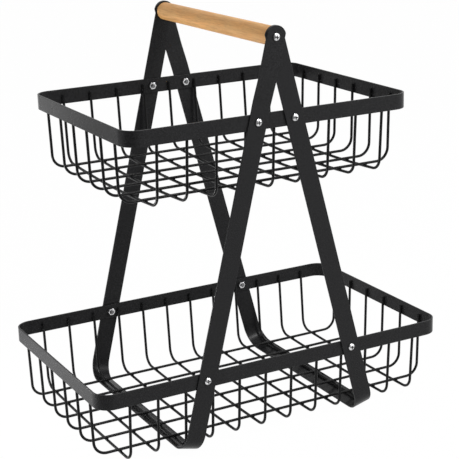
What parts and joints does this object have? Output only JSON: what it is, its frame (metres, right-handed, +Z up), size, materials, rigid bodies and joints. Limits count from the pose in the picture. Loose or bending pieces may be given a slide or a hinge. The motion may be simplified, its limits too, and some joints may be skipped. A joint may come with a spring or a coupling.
{
  "type": "tiered wire basket",
  "caption": "Free-standing wire basket in two tiers, a shorter one above a longer one, on crossed bent steel straps with a round wooden carrying handle.",
  "frame": {"origin": "on the surface it stands on, below the middle of the baskets", "axes": "+X along the length of the baskets, +Y from front to back along the handle, +Z up"},
  "size_m": [0.4, 0.2502, 0.4219],
  "materials": {
    "black_coat": "satin black powder coat with a fine grain",
    "wood": "pale oiled wood with fine grain along the length",
    "zinc": "bright zinc-plated steel"
  },
  "bodies": {
    "root": {"left_strap": "black_coat", "right_strap": "black_coat", "wood_handle": "wood", "handle_screws": "zinc", "upper_rim": "black_coat", "upper_cross_wire_1": "black_coat", "upper_cross_wire_2": "black_coat", "upper_cross_wire_3": "black_coat", "upper_cross_wire_4": "black_coat", "upper_cross_wire_5": "black_coat", "upper_cross_wire_6": "black_coat", "upper_cross_wire_7": "black_coat", "upper_cross_wire_8": "black_coat", "upper_cross_wire_9": "black_coat", "upper_long_wire_1": "black_coat", "upper_long_wire_2": "black_coat", "upper_long_wire_3": "black_coat", "upper_long_wire_4": "black_coat", "upper_long_wire_5": "black_coat", "upper_long_wire_6": "black_coat", "upper_basket_screws": "zinc", "upper_basket_nuts": "zinc", "lower_rim": "black_coat", "lower_cross_wire_1": "black_coat", "lower_cross_wire_2": "black_coat", "lower_cross_wire_3": "black_coat", "lower_cross_wire_4": "black_coat", "lower_cross_wire_5": "black_coat", "lower_cross_wire_6": "black_coat", "lower_cross_wire_7": "black_coat", "lower_cross_wire_8": "black_coat", "lower_cross_wire_9": "black_coat", "lower_cross_wire_10": "black_coat", "lower_cross_wire_11": "black_coat", "lower_cross_wire_12": "black_coat", "lower_long_wire_1": "black_coat", "lower_long_wire_2": "black_coat", "lower_long_wire_3": "black_coat", "lower_long_wire_4": "black_coat", "lower_long_wire_5": "black_coat", "lower_long_wire_6": "black_coat", "lower_basket_screws": "zinc", "lower_basket_nuts": "zinc"}
  },
  "joints": []
}
